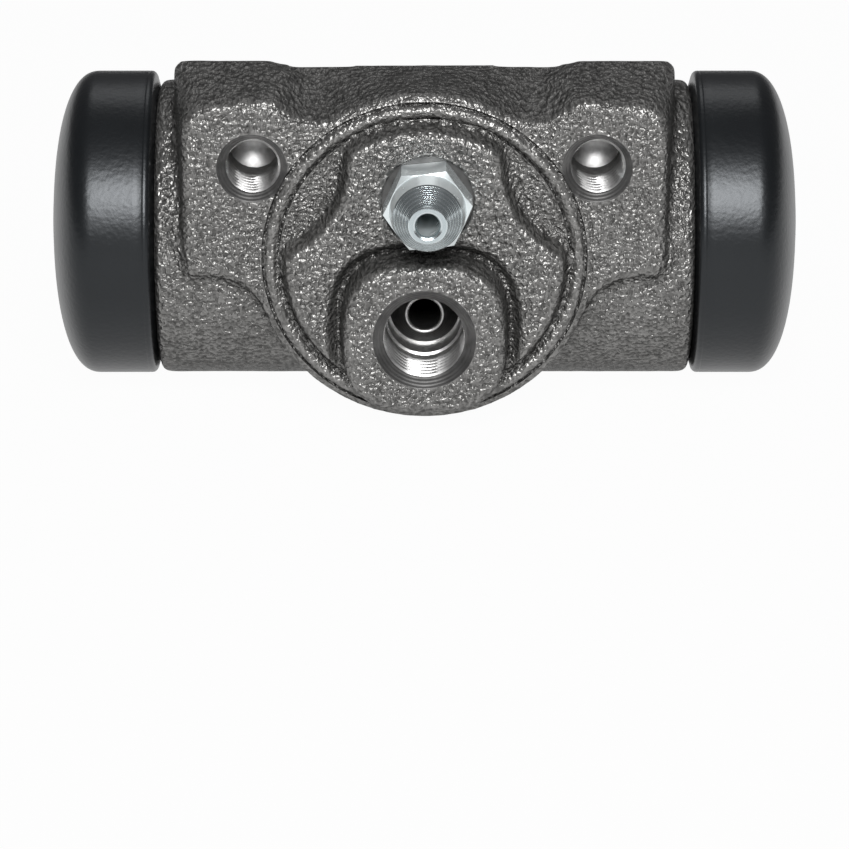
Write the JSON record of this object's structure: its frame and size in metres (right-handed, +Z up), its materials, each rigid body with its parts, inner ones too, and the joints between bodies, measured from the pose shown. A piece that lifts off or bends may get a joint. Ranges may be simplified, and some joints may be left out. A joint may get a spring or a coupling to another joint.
{
  "type": "wheel cylinder",
  "caption": "Hydraulic drum-brake wheel cylinder: cast body with opposed pistons, dust boots, bleed screw and a flared inlet port beside a mounting face.",
  "frame": {"origin": "midway between the two mounting holes, on the mounting face", "axes": "+X along the bore, -Y out of the mounting face towards the backing plate, +Z up, on the side of the bleed screw"},
  "size_m": [0.0948, 0.0527, 0.0433],
  "materials": {
    "cast_iron": "as-cast, dark grey, machined in the bores and port mouths",
    "zinc_steel": "turned, bright zinc plate",
    "piston_alloy": "turned, anodised",
    "seal_rubber": "moulded, satin",
    "pressed_steel": "pressed, plain",
    "spring_steel": "drawn wire",
    "boot_rubber": "moulded, satin black"
  },
  "bodies": {
    "cylinder": {"cylinder_body": "cast_iron", "boot_left": "boot_rubber", "boot_right": "boot_rubber", "return_spring": "spring_steel"},
    "left_piston": {"piston_left": "piston_alloy", "cup_left": "seal_rubber", "cup_expander_left": "pressed_steel"},
    "right_piston": {"piston_right": "piston_alloy", "cup_right": "seal_rubber", "cup_expander_right": "pressed_steel"},
    "bleeder": {"bleeder_screw": "zinc_steel"}
  },
  "joints": [
    {"name": "left_piston_push", "type": "slide", "parent": "cylinder", "child": "left_piston", "axis": [1, 0, 0], "range_m": [0, 0.008], "stiffness_N_per_m": 400, "springref_m": -0.02, "deforming": ["return_spring"]},
    {"name": "right_piston_push", "type": "slide", "parent": "cylinder", "child": "right_piston", "axis": [-1, 0, 0], "range_m": [0, 0.008], "stiffness_N_per_m": 400, "springref_m": -0.02, "deforming": ["return_spring"]},
    {"name": "bleeder_turn", "type": "hinge", "parent": "cylinder", "child": "bleeder", "pos_m": [0.0004, 0, -0.00325], "axis": [0, -1, 0], "range_deg": [0, 360]}
  ]
}
